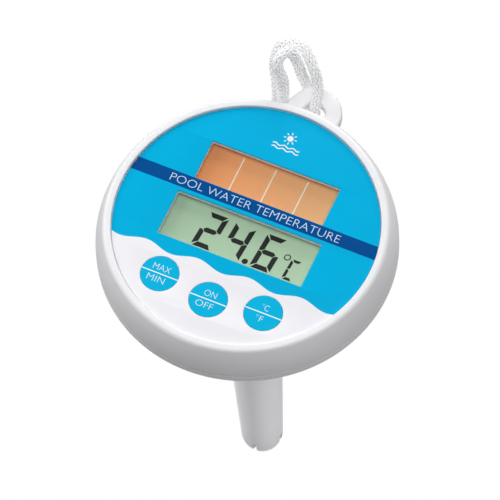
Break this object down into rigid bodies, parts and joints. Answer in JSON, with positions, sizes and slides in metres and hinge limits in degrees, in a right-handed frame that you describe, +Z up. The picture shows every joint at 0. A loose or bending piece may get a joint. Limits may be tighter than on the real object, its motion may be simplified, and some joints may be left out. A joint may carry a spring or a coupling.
{
  "type": "floating pool thermometer",
  "caption": "Round solar pool thermometer float with blue face, digital display, solar window, push buttons, long sensor probe beneath and a braided tether cord on a side lug.",
  "frame": {"origin": "the small flat at the lowest tip of the probe, on the axis of the float", "axes": "+Z up out of the printed face along the probe, +Y towards the cord lug, +X towards the unit button's side of the face"},
  "size_m": [0.1084, 0.1273, 0.1855],
  "materials": {
    "case_white": "glossy moulded ABS",
    "face_print": "printed film under a clear gloss coat",
    "window_clear": "clear window; moulded acrylic is assumed",
    "button_blue": "printed rubbery key cap",
    "display_glass": "reflective liquid crystal panel",
    "solar_copper": "copper coloured amorphous solar cells",
    "frame_black": "matt black moulding",
    "silicone_grey": "matt silicone",
    "seal_black": "nitrile seal",
    "foam": "closed cell foam pad",
    "board_green": "solder mask over glass laminate",
    "metal": "plain steel",
    "epoxy_black": "cured epoxy",
    "wire_red": "insulated wire",
    "wire_black": "insulated wire",
    "plug_white": "matt moulding",
    "cord_white": "braided polyester"
  },
  "bodies": {
    "case": {"backup_cell": "metal", "board_screw_1": "metal", "board_screw_2": "metal", "board_screw_3": "metal", "board_screw_4": "metal", "boot_max_min": "silicone_grey", "boot_on_off": "silicone_grey", "boot_unit": "silicone_grey", "buffer_capacitor": "epoxy_black", "case_gasket": "seal_black", "case_screw_1": "metal", "case_screw_2": "metal", "case_screw_3": "metal", "case_screw_4": "metal", "case_screw_5": "metal", "case_screw_6": "metal", "cell_clip": "metal", "cell_holder": "frame_black", "chip_cover": "epoxy_black", "circuit_board": "board_green", "display_connector": "silicone_grey", "display_holder": "frame_black", "display_lens": "window_clear", "display_panel": "display_glass", "face_film": "face_print", "lower_case": "case_white", "probe_nut": "plug_white", "probe_seal": "seal_black", "probe_tube": "case_white", "screw_plug_1": "plug_white", "screw_plug_2": "plug_white", "screw_plug_3": "plug_white", "screw_plug_4": "plug_white", "screw_plug_5": "plug_white", "screw_plug_6": "plug_white", "sensor_bead": "epoxy_black", "sensor_cable": "wire_black", "sensor_carrier": "plug_white", "sensor_connector": "plug_white", "sensor_seal": "seal_black", "sensor_thimble": "metal", "solar_lead_negative": "wire_black", "solar_lead_positive": "wire_red", "solar_lens": "window_clear", "solar_pad": "foam", "solar_panel": "solar_copper", "switch_body_1": "frame_black", "switch_body_2": "frame_black", "switch_body_3": "frame_black", "timing_crystal": "metal", "upper_case": "case_white"},
    "button_max_min_body": {"button_max_min": "button_blue", "plunger_max_min": "epoxy_black"},
    "button_on_off_body": {"button_on_off": "button_blue", "plunger_on_off": "epoxy_black"},
    "button_unit_body": {"button_unit": "button_blue", "plunger_unit": "epoxy_black"},
    "cord_body": {"tether_cord": "cord_white"}
  },
  "joints": [
    {"name": "press_max_min", "type": "slide", "parent": "case", "child": "button_max_min_body", "axis": [0, 0, -1], "range_m": [0, 0.0006], "stiffness_N_per_m": 2500, "deforming": ["boot_max_min"]},
    {"name": "press_on_off", "type": "slide", "parent": "case", "child": "button_on_off_body", "axis": [0, 0, -1], "range_m": [0, 0.0006], "stiffness_N_per_m": 2500, "deforming": ["boot_on_off"]},
    {"name": "press_unit", "type": "slide", "parent": "case", "child": "button_unit_body", "axis": [0, 0, -1], "range_m": [0, 0.0006], "stiffness_N_per_m": 2500, "deforming": ["boot_unit"]},
    {"name": "cord_swing", "type": "hinge", "parent": "case", "child": "cord_body", "pos_m": [-0.00398, 0.06412, 0.15775], "axis": [-0.8387, -0.5446, 0], "range_deg": [-8, 15]}
  ]
}
